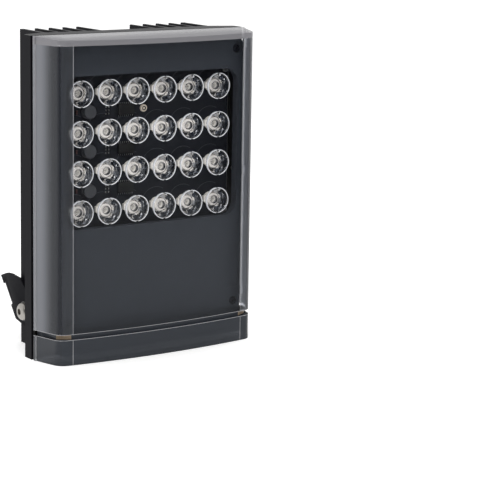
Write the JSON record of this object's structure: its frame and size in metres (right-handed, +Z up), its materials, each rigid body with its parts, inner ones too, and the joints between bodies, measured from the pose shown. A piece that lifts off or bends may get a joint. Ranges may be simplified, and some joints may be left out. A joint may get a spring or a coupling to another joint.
{
  "type": "infrared illuminator",
  "caption": "Wall-mounted infrared illuminator: finned black housing, clear arched cover over lensed emitters in a dark mask, and a folded tilting yoke.",
  "frame": {"origin": "middle of the housing slab's underside, on the plane that the lamp stands on, half way across its width", "axes": "X across the front to the viewer's right, Y from the clear front to the fins at the back, Z up; the emitters face -Y"},
  "size_m": [0.194, 0.1189, 0.253],
  "materials": {
    "housing_black": "black anodised, satin",
    "seal_rubber": "matte",
    "clear_cover": "clear, polished",
    "screw_steel": "plain",
    "screw_black": "blackened",
    "mask_black": "fine matte grain",
    "plate_aluminium": "plain",
    "board_black": "solder mask, satin",
    "board_green": "solder mask, satin",
    "lens_clear": "clear, polished",
    "holder_cream": "satin",
    "emitter_resin": "clear dome on a pale base",
    "ferrite_grey": "pressed ferrite",
    "chip_black": "moulded",
    "resistor_black": "glazed, tinned ends",
    "capacitor_ceramic": "ceramic",
    "can_aluminium": "drawn can",
    "terminal_green": "moulded",
    "gland_black": "moulded nylon",
    "yoke_black": "black powder coat",
    "pivot_stainless": "turned stainless",
    "liner_plastic": "nylon"
  },
  "bodies": {
    "lamp": {"heat_sink": "housing_black", "cover_seal": "seal_rubber", "front_cover": "clear_cover", "lower_cover": "clear_cover", "cover_screws": "screw_steel", "inner_mask": "mask_black", "mask_screws": "screw_black", "carrier_plate": "plate_aluminium", "plate_screws": "screw_steel", "led_board": "board_black", "board_screws": "screw_steel", "lens_holders": "holder_cream", "led_emitters": "emitter_resin", "sense_resistors": "resistor_black", "chip_capacitors": "capacitor_ceramic", "driver_board": "board_green", "driver_board_screws": "screw_steel", "power_inductor": "ferrite_grey", "filter_capacitors": "can_aluminium", "terminal_block": "terminal_green", "gland_body": "gland_black", "gland_nut": "gland_black", "gland_seal": "seal_rubber", "gland_locknut": "gland_black", "pivot_screws": "pivot_stainless", "pivot_washers": "pivot_stainless", "friction_washers": "liner_plastic", "pivot_nuts": "pivot_stainless", "lens_1_1": "lens_clear", "lens_1_2": "lens_clear", "lens_1_3": "lens_clear", "lens_1_4": "lens_clear", "lens_1_5": "lens_clear", "lens_1_6": "lens_clear", "lens_2_1": "lens_clear", "lens_2_2": "lens_clear", "lens_2_3": "lens_clear", "lens_2_4": "lens_clear", "lens_2_5": "lens_clear", "lens_2_6": "lens_clear", "lens_3_1": "lens_clear", "lens_3_2": "lens_clear", "lens_3_3": "lens_clear", "lens_3_4": "lens_clear", "lens_3_5": "lens_clear", "lens_3_6": "lens_clear", "lens_4_1": "lens_clear", "lens_4_2": "lens_clear", "lens_4_3": "lens_clear", "lens_4_4": "lens_clear", "lens_4_5": "lens_clear", "lens_4_6": "lens_clear", "inductor_1": "ferrite_grey", "driver_chip_1": "chip_black", "inductor_2": "ferrite_grey", "driver_chip_2": "chip_black", "inductor_3": "ferrite_grey", "driver_chip_3": "chip_black"},
    "yoke": {"yoke": "yoke_black"}
  },
  "joints": [
    {"name": "yoke_tilt", "type": "hinge", "parent": "lamp", "child": "yoke", "pos_m": [0, 0.0295, 0.029], "axis": [1, 0, 0], "range_deg": [-50, 39]}
  ]
}
